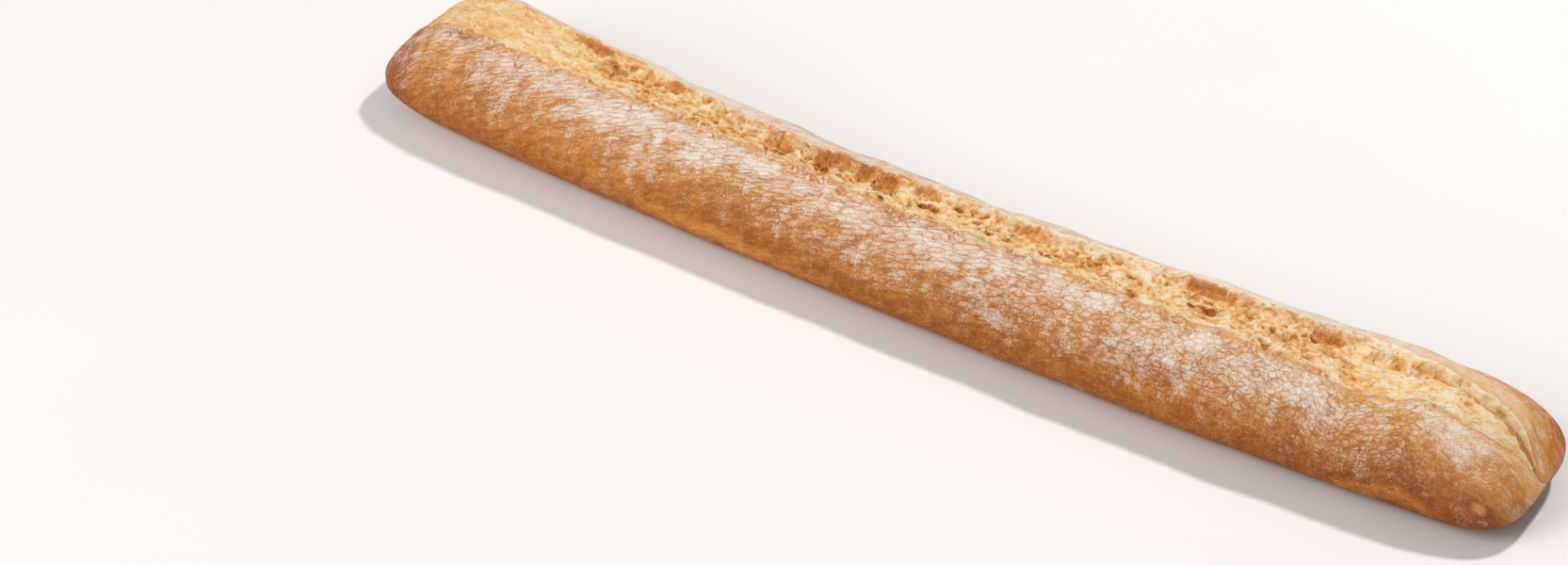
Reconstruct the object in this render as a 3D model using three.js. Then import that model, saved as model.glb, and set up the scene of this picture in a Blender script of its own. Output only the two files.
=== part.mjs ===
// A long white baguette, baked as one piece: a soft-cornered loaf with a flat base, a slight bow, and one
// long slash that has torn open along the top and shows the crumb. All sizes are in millimetres.
// +X runs along the loaf, +Z is up, and the near lip of the slash lies towards -Y.
import * as THREE from "three";

// The whole loaf
const LENGTH = 561;
const WIDTH = 72;
const HEIGHT = 44.7;
const BOW = 11.6; // how far the middle lies to the side of the two ends
const WAIST = 0.95; // the middle's share of the full width and height
const LEFT_SWELL = 0.15; // what the left end has more than the waist
const RIGHT_SWELL = 0.05;
const RIGHT_SWELL_REACH = 0.65; // share of the half length by which the right end is at its full width

// The cross-section: two halves that meet where the loaf is widest, each with its own squareness
const WIDEST_AT = 0.38; // share of the height
const TOP_SQUARENESS = 2.2;
const BASE_SQUARENESS = 3.2;
const BASE_CUT = 0.5; // how much of the round underside the oven floor has pressed flat

// The two blunt ends: how far their rounding reaches and how square it is, seen from above and from the side,
// their share of the full width and height, the height of the point in which they close, how obliquely they
// are cut off, and how far they turn to the far side
const LEFT_END = {
  roundWide: 20, squareWide: 3.9, roundHigh: 36, squareHigh: 1.93, width: 0.89, height: 0.7, centre: 17.3,
  skew: -0.014, turn: 2.1,
};
const RIGHT_END = {
  roundWide: 26, squareWide: 3.3, roundHigh: 33.5, squareHigh: 2.05, width: 0.93, height: 0.68, centre: 15.5,
  skew: -0.036, turn: 0,
};
const END_TAPER = 60; // the length over which the loaf gets lower and narrower
const END_TURN_REACH = 80;
const END_SKEW_REACH = 25;
const END_CALM = 33; // the crust's unevenness and the raised lips fade out over this length

// The slash: where its two lips run, as [place along the loaf, share of the half width]
const NEAR_LIP = [
  [-281, -0.3], [-215, -0.33], [-120, -0.22], [-60, -0.2], [-16, -0.27], [20, -0.235], [60, -0.25],
  [110, -0.32], [186, -0.41], [206, -0.53], [219, -0.46], [232, -0.35], [257, -0.37], [271, -0.28],
  [281, -0.4],
];
const FAR_LIP = [
  [-281, 0.42], [-232, 0.52], [-150, 0.43], [-91, 0.26], [-78, 0.3], [-62, 0.24], [-50, 0.31], [-34, 0.3],
  [-8, 0.38], [30, 0.4], [60, 0.39], [125, 0.43], [172, 0.33], [206, 0.4], [228, 0.3], [253, 0.18],
  [266, 0.11], [281, -0.36],
];

// The torn crumb between the lips: its valley, as [place, depth, how far it leans to the far lip]
const VALLEY = [
  [-281, 0.3, 1.3], [-265, 1, 1.3], [-200, 1.3, 1.4], [-150, 2.4, 1.6], [0, 2.9, 1.6], [150, 2.8, 1.6],
  [200, 2.2, 1.8], [225, 1.8, 3], [262, 1.6, 4], [276, 0.9, 4], [281, 0.2, 3],
];
const NEAR_LIP_STEP = 1;
const NEAR_LIP_RISE = 0.4;
const FAR_LIP_RISE = [[-281, 0.2], [-225, 0.5], [-180, 1], [0, 0.9], [170, 0.9], [215, 0.5], [281, 0.2]];
const FAR_LIP_OVERHANG = 0.6;
const SLASH_FADES_OVER = 12; // from an end's tip
const LEAST_GAP = 0.03; // share of the half width that stays between the lips
const NEAR_LIP_DROP = 0.06; // share across the slash in which the crumb drops below the near lip
const LIP_WAVES = [[23, 0.5], [14.3, 0.45], [9.1, 0.3]]; // length and height of each wave in a lip's line
const NEAR_WAVE_START = 0; // where each lip's waves start, so that the two lips differ
const FAR_WAVE_START = 2;

// The large cavities: [place along the loaf, share across the slash, half length, half width, depth]
const CAVITIES = [
  [-184, 0.86, 13, 3.2, 3.4], [-172, 0.5, 4, 2.6, 3], [-164, 0.72, 4.5, 3, 3.4], [-137, 0.82, 6, 3, 2.6],
  [-76, 0.72, 9, 3.6, 3], [-56, 0.62, 15, 4.4, 3.6], [-43, 0.84, 9, 4, 3.6], [-27, 0.66, 10, 5.6, 5],
  [-9, 0.84, 8, 3.2, 3], [6, 0.5, 9, 4, 2.4], [48, 0.82, 12, 3, 2.6], [74, 0.55, 12, 4.2, 2.2],
  [106, 0.46, 11, 4.4, 2.8], [128, 0.84, 15, 4, 3.4], [132, 0.46, 8, 4, 4.4], [166, 0.48, 9, 4.6, 4],
  [181, 0.8, 8, 3.2, 3], [190, 0.5, 7, 4, 2.6], [208, 0.74, 11, 3.6, 3], [226, 0.84, 7, 2.4, 2.2],
];

// The smaller bubbles, spread by a seeded draw
const BUBBLE_COUNT = 90;
const BUBBLE_RADIUS = [2.2, 4.6];
const BUBBLE_DEPTH = 0.42; // share of the radius
const BUBBLE_STRETCH = 1.5; // along the loaf
const BUBBLE_SHARES = [0.12, 0.92]; // how near the two lips the bubbles come
const BUBBLE_REACH = [-190, 205]; // the stretch of torn crumb, between the two smooth ends
const BUBBLE_SEED = 20;

// The crust's slow unevenness, as [length along, length round, height] of each swell
const CRUST_SWELLS = [[74, 60, 0.5], [41, 37, 0.3], [23, 29, 0.2]];
const SWELL_STARTS_AT = 8; // height above the flat base

// The draw of random numbers: whole numbers below the range, one made from the one before
const DRAW_FACTOR = 1664525;
const DRAW_STEP = 1013904223;
const DRAW_RANGE = 2 ** 32;

// How far a point's neighbours lie, from which its outward direction is taken
const ANGLE_STEP = 0.01;
const PLACE_STEP = 0.2;

// The mesh: stations along the loaf and columns round it
const STATION_STEP = 4;
const END_STATIONS = 11;
const END_ZONE = 40;
const SLASH_COLUMNS = 18;
const SIDE_COLUMNS = 9;
const BASE_COLUMNS = 2;
const SLASH_CROWDING = 0.45;
const SIDE_CROWDING = 1.35;
const NEAR_LIP_COLUMN = 0;
const FAR_LIP_COLUMN = SLASH_COLUMNS;
const FAR_BASE_COLUMN = FAR_LIP_COLUMN + SIDE_COLUMNS;
const NEAR_BASE_COLUMN = FAR_BASE_COLUMN + BASE_COLUMNS;
const ALL_COLUMNS = NEAR_BASE_COLUMN + SIDE_COLUMNS;

const clamp01 = (value) => Math.min(1, Math.max(0, value));

function smooth(value) {
  const t = clamp01(value);
  return t * t * (3 - 2 * t);
}

// A smooth curve through the rows of a table, read in one of its columns
function along(table, x, column = 1) {
  const last = table.length - 1;
  const next = table.findIndex(([place], k) => k > 0 && (x <= place || k === last));
  const i = next - 1;
  const slope = (k) => {
    const before = table[Math.max(0, k - 1)];
    const after = table[Math.min(last, k + 1)];
    return (after[column] - before[column]) / (after[0] - before[0]);
  };
  const span = table[i + 1][0] - table[i][0];
  const t = clamp01((x - table[i][0]) / span);
  const rise = table[i + 1][column] - table[i][column];
  const start = slope(i) * span;
  const end = slope(i + 1) * span;
  return table[i][column] + t * (start + t * (3 * rise - 2 * start - end + t * (start + end - 2 * rise)));
}

// How far a blunt end has opened at a distance from its tip: 0 at the tip, 1 past the rounding
function opening(distance, round, squareness) {
  const left = clamp01(1 - distance / round);
  return (1 - left ** squareness) ** (1 / squareness);
}

function fullness(x) {
  const u = x / (LENGTH / 2);
  return u < 0 ? WAIST + LEFT_SWELL * u * u : WAIST + RIGHT_SWELL * smooth(u / RIGHT_SWELL_REACH);
}

// The sizes of the cross-section at a place along the loaf
function sectionAt(x) {
  const end = x < 0 ? LEFT_END : RIGHT_END;
  const u = x / (LENGTH / 2);
  const fromTip = LENGTH / 2 - Math.abs(x);
  const taper = clamp01(1 - fromTip / END_TAPER) ** 2;
  return {
    x,
    fromTip,
    halfWidth: (WIDTH / 2) * fullness(x) * (1 - (1 - end.width) * taper),
    height: HEIGHT * fullness(x) * (1 - (1 - end.height) * taper),
    centre: -BOW * (1 - u * u) + end.turn * clamp01(1 - fromTip / END_TURN_REACH) ** 2,
    openWide: opening(fromTip, end.roundWide, end.squareWide),
    openHigh: opening(fromTip, end.roundHigh, end.squareHigh),
    closesAt: end.centre,
    skew: end.skew * Math.exp(-fromTip / END_SKEW_REACH),
  };
}

// A point of the loaf's smooth outline: the angle starts at the far side and turns over the top
function outlinePoint(section, angle) {
  const { x, halfWidth, height, centre, openWide, openHigh, closesAt, skew } = section;
  const across = Math.cos(angle);
  const up = Math.sin(angle);
  const squareness = up >= 0 ? TOP_SQUARENESS : BASE_SQUARENESS;
  const side = halfWidth * Math.sign(across) * Math.abs(across) ** (2 / squareness) * openWide;
  const reach = up >= 0 ? (1 - WIDEST_AT) * height : WIDEST_AT * height + BASE_CUT;
  const z = WIDEST_AT * height + Math.sign(up) * reach * Math.abs(up) ** (2 / squareness);
  return new THREE.Vector3(x + skew * side, centre + side, closesAt + openHigh * (Math.max(z, 0) - closesAt));
}

// The angle at which the top of a section has a given share of its half width
function angleOfShare(share) {
  return Math.acos(Math.sign(share) * Math.abs(share) ** (TOP_SQUARENESS / 2));
}

// Even steps from 0 to 1, crowded towards both ends
function crowded(t, crowding) {
  return t - (crowding * Math.sin(2 * Math.PI * t)) / (2 * Math.PI);
}

function lipWave(x, start) {
  return LIP_WAVES.reduce((sum, [length, height], i) => {
    return sum + height * Math.sin((x * 2 * Math.PI) / length + start + i);
  }, 0);
}

function lipShare(table, x, start) {
  const { halfWidth, fromTip } = sectionAt(x);
  return along(table, x) + (lipWave(x, start) / halfWidth) * smooth(fromTip / END_CALM);
}

// A draw of shares of 1, the same ones for the same seed
function seededDraw(seed) {
  let state = seed;
  return () => {
    state = (Math.imul(state, DRAW_FACTOR) + DRAW_STEP) >>> 0;
    return state / DRAW_RANGE;
  };
}

function drawBubbles() {
  const draw = seededDraw(BUBBLE_SEED);
  const between = ([low, high]) => low + (high - low) * draw();
  return Array.from({ length: BUBBLE_COUNT }, () => {
    const radius = between(BUBBLE_RADIUS);
    const place = between(BUBBLE_REACH);
    return [place, between(BUBBLE_SHARES), radius * BUBBLE_STRETCH, radius, radius * BUBBLE_DEPTH];
  });
}

const HOLLOWS = [...CAVITIES, ...drawBubbles()];

// How deep the crumb lies under the loaf's outline, from the near lip (share 0) to the far lip (share 1)
function crumbDepth(x, share, slashWidth) {
  const valley = along(VALLEY, x, 1) * Math.sin(Math.PI * share ** along(VALLEY, x, 2));
  const step = NEAR_LIP_STEP * smooth(share / NEAR_LIP_DROP) * (1 - share);
  const hollows = HOLLOWS.map(([place, middle, halfLength, halfWidth, depth]) => {
    const a = (x - place) / halfLength;
    const b = ((share - middle) * slashWidth) / halfWidth;
    return depth * Math.sqrt(clamp01(1 - a * a - b * b));
  });
  return valley + step + Math.max(...hollows);
}

function crustSwell(x, girth) {
  return CRUST_SWELLS.reduce((sum, [length, round, height], i) => {
    const lengthways = Math.sin((x * 2 * Math.PI) / length + i);
    return sum + height * lengthways * Math.cos((girth * 2 * Math.PI) / round + 2 * i);
  }, 0);
}

// How far a column lies from its lip towards the flat base: 0 at the lip, 1 from the base's edge on
function shareDownSide(column) {
  const columnsFromLip = Math.min(column - FAR_LIP_COLUMN, ALL_COLUMNS - column);
  return clamp01(columnsFromLip / SIDE_COLUMNS) ** SIDE_CROWDING;
}

function shareAcrossSlash(column) {
  return crowded(column / SLASH_COLUMNS, SLASH_CROWDING);
}

// The angle at which a section's far side meets the flat base
function baseEdgeAngle({ height }) {
  const reach = WIDEST_AT * height;
  return -Math.asin((reach / (reach + BASE_CUT)) ** (BASE_SQUARENESS / 2));
}

function angleOfColumn(section, column, nearShare, farShare) {
  if (column < FAR_LIP_COLUMN) {
    return angleOfShare(nearShare + (farShare - nearShare) * shareAcrossSlash(column));
  }
  const farEdge = baseEdgeAngle(section);
  const nearEdge = -Math.PI - farEdge;
  if (column >= FAR_BASE_COLUMN && column <= NEAR_BASE_COLUMN) {
    return farEdge + ((nearEdge - farEdge) * (column - FAR_BASE_COLUMN)) / BASE_COLUMNS;
  }
  const isFar = column < FAR_BASE_COLUMN;
  const lip = isFar ? angleOfShare(farShare) : angleOfShare(nearShare) - 2 * Math.PI;
  return lip + ((isFar ? farEdge : nearEdge) - lip) * shareDownSide(column);
}

// How far a column's point is moved outwards from the outline
function reliefAt(section, column, angle, height, slashWidth) {
  const { x, fromTip } = section;
  const ends = smooth(fromTip / END_CALM);
  if (column === NEAR_LIP_COLUMN) return NEAR_LIP_RISE * ends;
  if (column === FAR_LIP_COLUMN) return along(FAR_LIP_RISE, x) * ends;
  if (column < FAR_LIP_COLUMN) {
    return -crumbDepth(x, shareAcrossSlash(column), slashWidth) * smooth(fromTip / SLASH_FADES_OVER);
  }
  const clearOfEdges = smooth(2 * shareDownSide(column)) * smooth(height / SWELL_STARTS_AT);
  return crustSwell(x, (angle * WIDTH) / 2) * ends * clearOfEdges;
}

// The places of the stations: close together in the rounded ends, evenly spaced between them
function stationPlaces() {
  const half = LENGTH / 2;
  const rounding = Array.from({ length: END_STATIONS }, (_, i) => {
    return END_ZONE * (1 - Math.cos(((i + 1) / END_STATIONS) * (Math.PI / 2)));
  });
  const straight = LENGTH - 2 * END_ZONE;
  const steps = Math.round(straight / STATION_STEP);
  const middle = Array.from({ length: steps - 1 }, (_, i) => -straight / 2 + ((i + 1) * straight) / steps);
  return [...rounding.map((d) => d - half), ...middle, ...rounding.map((d) => half - d).reverse()];
}

// The outward direction of the outline at a point, from its neighbours round and along the loaf
function outward(section, angle) {
  const round = outlinePoint(section, angle - ANGLE_STEP).sub(outlinePoint(section, angle + ANGLE_STEP));
  const step = Math.min(PLACE_STEP, section.fromTip / 2);
  const ahead = outlinePoint(sectionAt(section.x + step), angle);
  const back = outlinePoint(sectionAt(section.x - step), angle);
  return ahead.sub(back).cross(round).normalize();
}

function ringOf(x) {
  const section = sectionAt(x);
  const nearShare = lipShare(NEAR_LIP, x, NEAR_WAVE_START);
  const farShare = Math.max(lipShare(FAR_LIP, x, FAR_WAVE_START), nearShare + LEAST_GAP);
  const slashWidth = (farShare - nearShare) * section.halfWidth;
  return Array.from({ length: ALL_COLUMNS }, (_, column) => {
    const angle = angleOfColumn(section, column, nearShare, farShare);
    const point = outlinePoint(section, angle);
    const relief = reliefAt(section, column, angle, point.z, slashWidth);
    point.addScaledVector(outward(section, angle), relief);
    if (column === FAR_LIP_COLUMN) point.y -= FAR_LIP_OVERHANG * smooth(section.fromTip / END_CALM);
    point.z = Math.max(point.z, 0);
    return point;
  });
}

function loafGeometry() {
  const rings = stationPlaces().map(ringOf);
  const leftTip = new THREE.Vector3(-LENGTH / 2, LEFT_END.turn, LEFT_END.centre);
  const rightTip = new THREE.Vector3(LENGTH / 2, RIGHT_END.turn, RIGHT_END.centre);
  const points = [...rings.flat(), leftTip, rightTip];
  const left = points.length - 2;
  const right = points.length - 1;
  const lastRing = (rings.length - 1) * ALL_COLUMNS;
  const faces = [];
  for (let c = 0; c < ALL_COLUMNS; c += 1) {
    const next = (c + 1) % ALL_COLUMNS;
    faces.push(left, c, next);
    faces.push(right, lastRing + next, lastRing + c);
    for (let r = 0; r < rings.length - 1; r += 1) {
      const here = r * ALL_COLUMNS;
      const ahead = here + ALL_COLUMNS;
      faces.push(here + c, ahead + c, here + next);
      faces.push(here + next, ahead + c, ahead + next);
    }
  }
  const geometry = new THREE.BufferGeometry().setFromPoints(points);
  geometry.setIndex(faces);
  geometry.computeVertexNormals();
  geometry.computeBoundingBox();
  const { min, max } = geometry.boundingBox;
  return geometry.translate(-(min.x + max.x) / 2, -(min.y + max.y) / 2, -min.z);
}

const crust = new THREE.MeshStandardMaterial({ color: 0xc98a4e, roughness: 0.75, metalness: 0 });

const baguette = new THREE.Mesh(loafGeometry(), crust);
baguette.name = "baguette";

const part = new THREE.Group();
part.add(baguette);

export default part;
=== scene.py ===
"""A long white baguette with one torn slash along its top, lying on a pale floor.

The loaf is two closed pieces, the crust and the crumb that shows in its slash, and a third of loose flakes
along the torn edge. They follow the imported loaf's outline, its lips and the valley of its crumb. Sizes here
are in millimetres until a mesh is made of them.
"""
import math

import bpy
import numpy as np
from mathutils import Matrix, Vector


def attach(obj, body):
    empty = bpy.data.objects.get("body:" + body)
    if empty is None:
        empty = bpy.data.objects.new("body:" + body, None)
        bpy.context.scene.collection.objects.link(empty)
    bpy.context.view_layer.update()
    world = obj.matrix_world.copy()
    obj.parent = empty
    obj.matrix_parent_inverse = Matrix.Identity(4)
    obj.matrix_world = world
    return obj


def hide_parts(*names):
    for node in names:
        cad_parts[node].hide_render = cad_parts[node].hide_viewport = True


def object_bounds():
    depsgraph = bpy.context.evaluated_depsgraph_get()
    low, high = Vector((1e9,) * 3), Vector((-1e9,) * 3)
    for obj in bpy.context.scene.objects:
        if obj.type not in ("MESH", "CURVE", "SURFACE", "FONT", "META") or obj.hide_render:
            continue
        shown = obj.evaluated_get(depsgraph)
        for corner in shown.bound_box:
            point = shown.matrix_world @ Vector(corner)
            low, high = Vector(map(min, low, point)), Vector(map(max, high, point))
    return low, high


MM = 0.001
BOX_INSET = 0.001 * MM
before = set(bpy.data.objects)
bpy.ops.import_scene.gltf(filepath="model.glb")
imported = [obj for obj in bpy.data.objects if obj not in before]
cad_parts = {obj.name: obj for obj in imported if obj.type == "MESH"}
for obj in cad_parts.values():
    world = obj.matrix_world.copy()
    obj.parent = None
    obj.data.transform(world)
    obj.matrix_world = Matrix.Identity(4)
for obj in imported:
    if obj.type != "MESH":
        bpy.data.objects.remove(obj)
CAD_LOW, CAD_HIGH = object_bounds()

# The whole loaf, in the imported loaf's own sizes
LENGTH = 561
WIDTH = 72
HEIGHT = 44.7
BOW = 11.6
WAIST = 0.95
LEFT_SWELL = 0.15
RIGHT_SWELL = 0.05
RIGHT_SWELL_REACH = 0.65
WIDEST_AT = 0.38
TOP_SQUARENESS = 2.2
BASE_SQUARENESS = 3.2
BASE_CUT = 0.5
END_TAPER = 60
END_TURN_REACH = 80
END_SKEW_REACH = 25
END_CALM = 33
# The left and the right end: rounding and squareness from above and from the side, width, height, closing
# height, skew and turn
END_ROUND_WIDE = (20, 26)
END_SQUARE_WIDE = (3.9, 3.3)
END_ROUND_HIGH = (36, 33.5)
END_SQUARE_HIGH = (1.93, 2.05)
END_WIDTH = (0.89, 0.93)
END_HEIGHT = (0.7, 0.68)
END_CENTRE = (17.3, 15.5)
END_SKEW = (-0.014, -0.036)
END_TURN = (2.1, 0)
# Low swells of the crust, as (length along the loaf, length round it, height), and where they are full
CRUST_SWELLS = [(74, 60, 0.5), (41, 37, 0.3), (23, 29, 0.2)]
SWELL_CLEARS_LIP = 12
SWELL_CLEARS_BASE = 17.6

# The two lips of the slash, as (place along the loaf, share of the half width)
NEAR_LIP = [
    (-281, -0.3), (-215, -0.33), (-120, -0.22), (-60, -0.2), (-16, -0.27), (20, -0.235), (60, -0.25),
    (110, -0.32), (186, -0.41), (206, -0.53), (219, -0.46), (232, -0.35), (257, -0.37), (271, -0.28),
    (281, -0.4),
]
FAR_LIP = [
    (-281, 0.42), (-232, 0.52), (-150, 0.43), (-91, 0.26), (-78, 0.3), (-62, 0.24), (-50, 0.31),
    (-34, 0.3), (-8, 0.38), (30, 0.4), (60, 0.39), (125, 0.43), (172, 0.33), (206, 0.4), (228, 0.3),
    (253, 0.18), (266, 0.11), (281, -0.36),
]
NEAR_LIP_RISE = 0.4
FAR_LIP_RISE = [(-281, 0.2), (-225, 0.5), (-180, 1), (0, 0.9), (170, 0.9), (215, 0.5), (281, 0.2)]
FAR_LIP_OVERHANG = 0.6
# The lips' slow waves and fine rags, as (length, height)
LIP_WAVES = [(23, 0.5), (14.3, 0.45), (9.1, 0.3)]
LIP_RAGS = [(6.1, 0.45), (3.3, 0.35), (1.7, 0.25)]
LIP_RAG_SEED = 7
LEAST_GAP = 0.03

# The crumb's valley, as (place, depth, how far it leans to the far lip), and its large cavities, as (place,
# share across the slash, half length, half width, depth): in the middle they are cups smaller than the packed
# loaf's
VALLEY = [
    (-281, 0.3, 1.3), (-265, 1, 1.3), (-200, 1.3, 1.4), (-150, 2.4, 1.6), (0, 2.9, 1.6),
    (150, 2.8, 1.6), (200, 2.2, 1.8), (225, 1.8, 3), (262, 1.6, 4), (276, 0.9, 4), (281, 0.2, 3),
]
NEAR_LIP_STEP = 1
SLASH_FADES_OVER = 12
CAVITIES = [
    (-184, 0.9, 11, 2.4, 2.8), (-172, 0.5, 4, 2.6, 3), (-164, 0.72, 4.5, 3, 3.4),
    (-137, 0.87, 5, 2.2, 2.2), (-76, 0.72, 8, 3.4, 2.8), (-50, 0.82, 10, 2.6, 3), (-54, 0.5, 9, 3, 2),
    (-34, 0.82, 5, 3.4, 3.8), (-22, 0.74, 6, 4.6, 4.8), (-4, 0.86, 6, 2.2, 2.4), (6, 0.5, 9, 4, 2.4),
    (48, 0.82, 12, 3, 2.6), (74, 0.55, 12, 4.2, 2.2), (106, 0.46, 11, 4.4, 2.8),
    (128, 0.88, 13, 2.6, 2.8), (132, 0.46, 8, 4, 4.4), (166, 0.48, 9, 4.6, 4), (181, 0.8, 8, 3.2, 3),
    (190, 0.5, 7, 4, 2.6), (208, 0.74, 11, 3.6, 3), (226, 0.84, 7, 2.4, 2.2),
]
# The smaller bubbles: they lie between two places and from a first share across the slash over a spread of it
BUBBLE_COUNT = 90
BUBBLE_RADIUS = (2.2, 4.6)
BUBBLE_STRETCH = 1.5
BUBBLE_DEPTH = 0.42
BUBBLE_REACH = (-190, 205)
BUBBLE_FIRST_SHARE = 0.12
BUBBLE_SPREAD = 0.8
BUBBLE_SEED = 20
# The draw of whole numbers below its range, one made from the one before
DRAW_FACTOR = 1664525
DRAW_STEP = 1013904223
DRAW_RANGE = 2**32
# How a bubble's edge strays, as (amount, turns along the loaf, turns across the slash)
BUBBLE_RAGS = [(0.2, 1.3, 19), (0.15, 2.9, -31)]
# Where the crumb is torn into open bubbles, as (place, roughness): both ends are smooth
TORN = [
    (-281, 0.05), (-215, 0.1), (-190, 0.4), (-165, 0.9), (0, 1), (170, 1), (200, 0.8), (222, 0.65),
    (255, 0.5), (281, 0.2),
]
# Where the crumb is toasted along the far lip, as (place, toast)
TOAST = [
    (-281, 0.25), (-240, 0.45), (-205, 0.5), (-185, 0.9), (-150, 0.7), (-130, 0.75), (-100, 0.55),
    (-75, 0.85), (-20, 0.9), (5, 0.55), (50, 0.35), (95, 0.3), (120, 0.85), (150, 0.75), (180, 0.65),
    (205, 0.3), (250, 0.2), (281, 0.3),
]

# How golden the smooth crumb is at the two ends, as (place, strength)
GOLDEN = [
    (-281, 0.95), (-225, 0.85), (-185, 0.5), (-150, 0.3), (-40, 0.15), (60, 0.1), (180, 0.1),
    (215, 0.2), (255, 0.3), (281, 0.4),
]
# The crease between the right end's smooth crumb and its far lip, as (place, share across the slash, depth)
SEAM = [
    (198, 0.55, 0), (211, 0.62, 0.8), (223, 0.7, 1.6), (235, 0.85, 2.4), (244, 0.88, 2.2),
    (252, 0.8, 1.8), (259, 0.84, 1.8), (266, 0.82, 2), (272, 0.8, 1.4), (281, 0.8, 0.3),
]
SEAM_WIDTH = 1.1
# Small open holes beside the crease and in the smooth crumb, sized as the cavities are
HOLES = [
    (205, 0.42, 7, 1, 1), (214, 0.5, 5, 2, 1.4), (222, 0.66, 5, 1.6, 1.8), (231, 0.84, 3.5, 1.4, 2),
    (239, 0.93, 4, 1, 1.2), (243, 0.74, 3.5, 1.5, 1.5), (249, 0.52, 4, 1.4, 1),
    (253, 0.76, 2.5, 1.2, 1.4), (264, 0.7, 2, 1.6, 1.6), (269, 0.72, 2.4, 1.8, 1.8),
    (273, 0.8, 1.6, 1.2, 1.2), (-178, 0.3, 1, 0.8, 1), (-198, 0.5, 0.8, 0.6, 0.8),
    (-212, 0.8, 0.7, 0.5, 0.8), (-187, 0.62, 0.6, 0.5, 0.8),
]

# The broad dusting of flour on the near side, as (place, strength, how far down from the near lip it reaches)
FLOUR_BAND = [
    (-281, 0.35, 24), (-250, 0.42, 20), (-220, 0.45, 22), (-190, 0.55, 28), (-160, 0.66, 30),
    (-130, 0.68, 30), (-100, 0.66, 26), (-75, 0.7, 22), (-50, 0.5, 24), (-20, 0.5, 32), (20, 0.52, 34),
    (60, 0.55, 38), (100, 0.48, 38), (130, 0.46, 36), (160, 0.46, 30), (190, 0.5, 24), (215, 0.3, 18),
    (235, 0.42, 18), (255, 0.5, 18), (270, 0.25, 12), (281, 0.1, 8),
]
# The flour left on the far side, as (place, strength)
FAR_FLOUR = [
    (-281, 0.6), (-200, 1), (-120, 1.05), (-60, 0.8), (60, 0.8), (110, 1.05), (170, 1), (210, 0.65),
    (250, 0.4), (281, 0.1),
]
# Flakes of baked skin along the near lip, as (place, share of the most there are)
FLAKED = [
    (-281, 0.1), (-250, 0.45), (-225, 0.5), (-200, 0.15), (-160, 0.15), (-125, 0.5), (-95, 0.4),
    (-60, 0.85), (-35, 0.9), (-10, 0.8), (15, 1), (45, 0.8), (75, 0.6), (100, 0.45), (130, 0.3),
    (165, 0.3), (195, 0.1), (225, 0.1), (281, 0),
]
# Which way the skin wrinkled, as (place, climb of a wrinkle for each unit of length to the right)
WRINKLE_SLANT = [
    (-281, 0.55), (-180, 0.45), (-110, 0.33), (-40, 0.27), (40, 0.14), (120, 0.06), (170, 0),
    (281, -0.1),
]
# White flour on the near side, as (place, distance down from its lip, half length, half height, strength)
FLOUR_PATCHES = [
    (-257, 20, 6, 9, 0.6), (-246, 6, 9, 4, 0.6), (-216, 17, 10, 7, 0.4), (-203, 30, 6, 8, 0.75),
    (-218, 24, 5, 12, 0.45), (-187, 7, 11, 6, 0.5), (-150, 8, 21, 8, 0.9), (-138, 19, 24, 5, 0.6),
    (-128, 31, 4, 12, 0.75), (-142, 33, 3, 10, 0.5), (-160, 28, 3, 9, 0.45), (-117, 29, 6, 8, 0.55),
    (-101, 12, 12, 8, 0.95), (-75, 9, 14, 5, 0.8), (-57, 27, 12, 6, 0.3), (-29, 10, 19, 8, 0.6),
    (-16, 27, 9, 6, 0.45), (-4, 31, 11, 7, 0.5), (19, 10, 24, 6, 0.75), (32, 26, 5, 4, 0.75),
    (-100, 34, 3, 3, 0.55), (47, 10, 9, 4, 0.95), (79, 6, 19, 5, 0.85), (96, 7, 8, 4, 0.8),
    (50, 28, 10, 9, 0.6), (57, 33, 6, 5, 0.65), (87, 30, 6, 7, 0.55), (110, 23, 15, 8, 0.5),
    (114, 36, 8, 4, 0.65), (131, 16, 6, 11, 0.75), (141, 21, 5, 12, 0.8), (143, 6, 10, 4, 0.9),
    (168, 14, 22, 5, 0.8), (169, 5, 16, 4, 0.5), (165, 23, 4, 3, 0.7), (191, 13, 12, 6, 0.75),
    (229, 2, 11, 3, 0.6), (249, 8, 13, 6, 0.85), (256, 15, 9, 5, 0.75), (199, 20, 6, 5, 0.4),
    (216, 23, 9, 8, 0.35),
]
# Paler or darker baking, as (place, distance down, half length, half height, change)
BAKE_PATCHES = [
    (-82, 46, 45, 4, -0.3), (228, 42, 30, 5, -0.44), (266, 28, 6, 5, 0.3), (266, 28, 3, 2.4, -0.65),
    (-240, 4, 26, 3, 0.3), (2, 3, 20, 2, 0.25), (50, 38, 60, 10, 0.04), (-150, 32, 55, 20, -0.1),
    (240, 24, 22, 8, 0.1),
]

# The photograph's view on the loaf's own axes: its elevation and its distance were set, and the rest was
# fitted to the loaf's outline
VIEW_AZIMUTH = 34.48
VIEW_ELEVATION = 36
VIEW_DISTANCE = 1500
VIEW_TARGET = (-48.7, -37.8, 0)
VIEW_LENS = 81.45
SENSOR_WIDTH = 36


def smooth(value):
    """A soft step from 0 to 1."""
    t = np.clip(value, 0, 1)
    return t * t * (3 - 2 * t)


def rising(value, start, over):
    """0 up to a start and 1 from a distance past it on, with a soft step between."""
    return smooth((value - start) / over)


def along(table, x, column=1):
    """A smooth curve through the rows of a table, read in one of its columns."""
    rows = np.array(table, float)
    place, value = rows[:, 0], rows[:, column]
    last = len(rows) - 1
    before = np.maximum(np.arange(last + 1) - 1, 0)
    after = np.minimum(np.arange(last + 1) + 1, last)
    slope = (value[after] - value[before]) / (place[after] - place[before])
    i = np.clip(np.searchsorted(place, x) - 1, 0, last - 1)
    span = place[i + 1] - place[i]
    t = np.clip((x - place[i]) / span, 0, 1)
    rise = value[i + 1] - value[i]
    start, end = slope[i] * span, slope[i + 1] * span
    return value[i] + t * (start + t * (3 * rise - 2 * start - end + t * (start + end - 2 * rise)))


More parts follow.
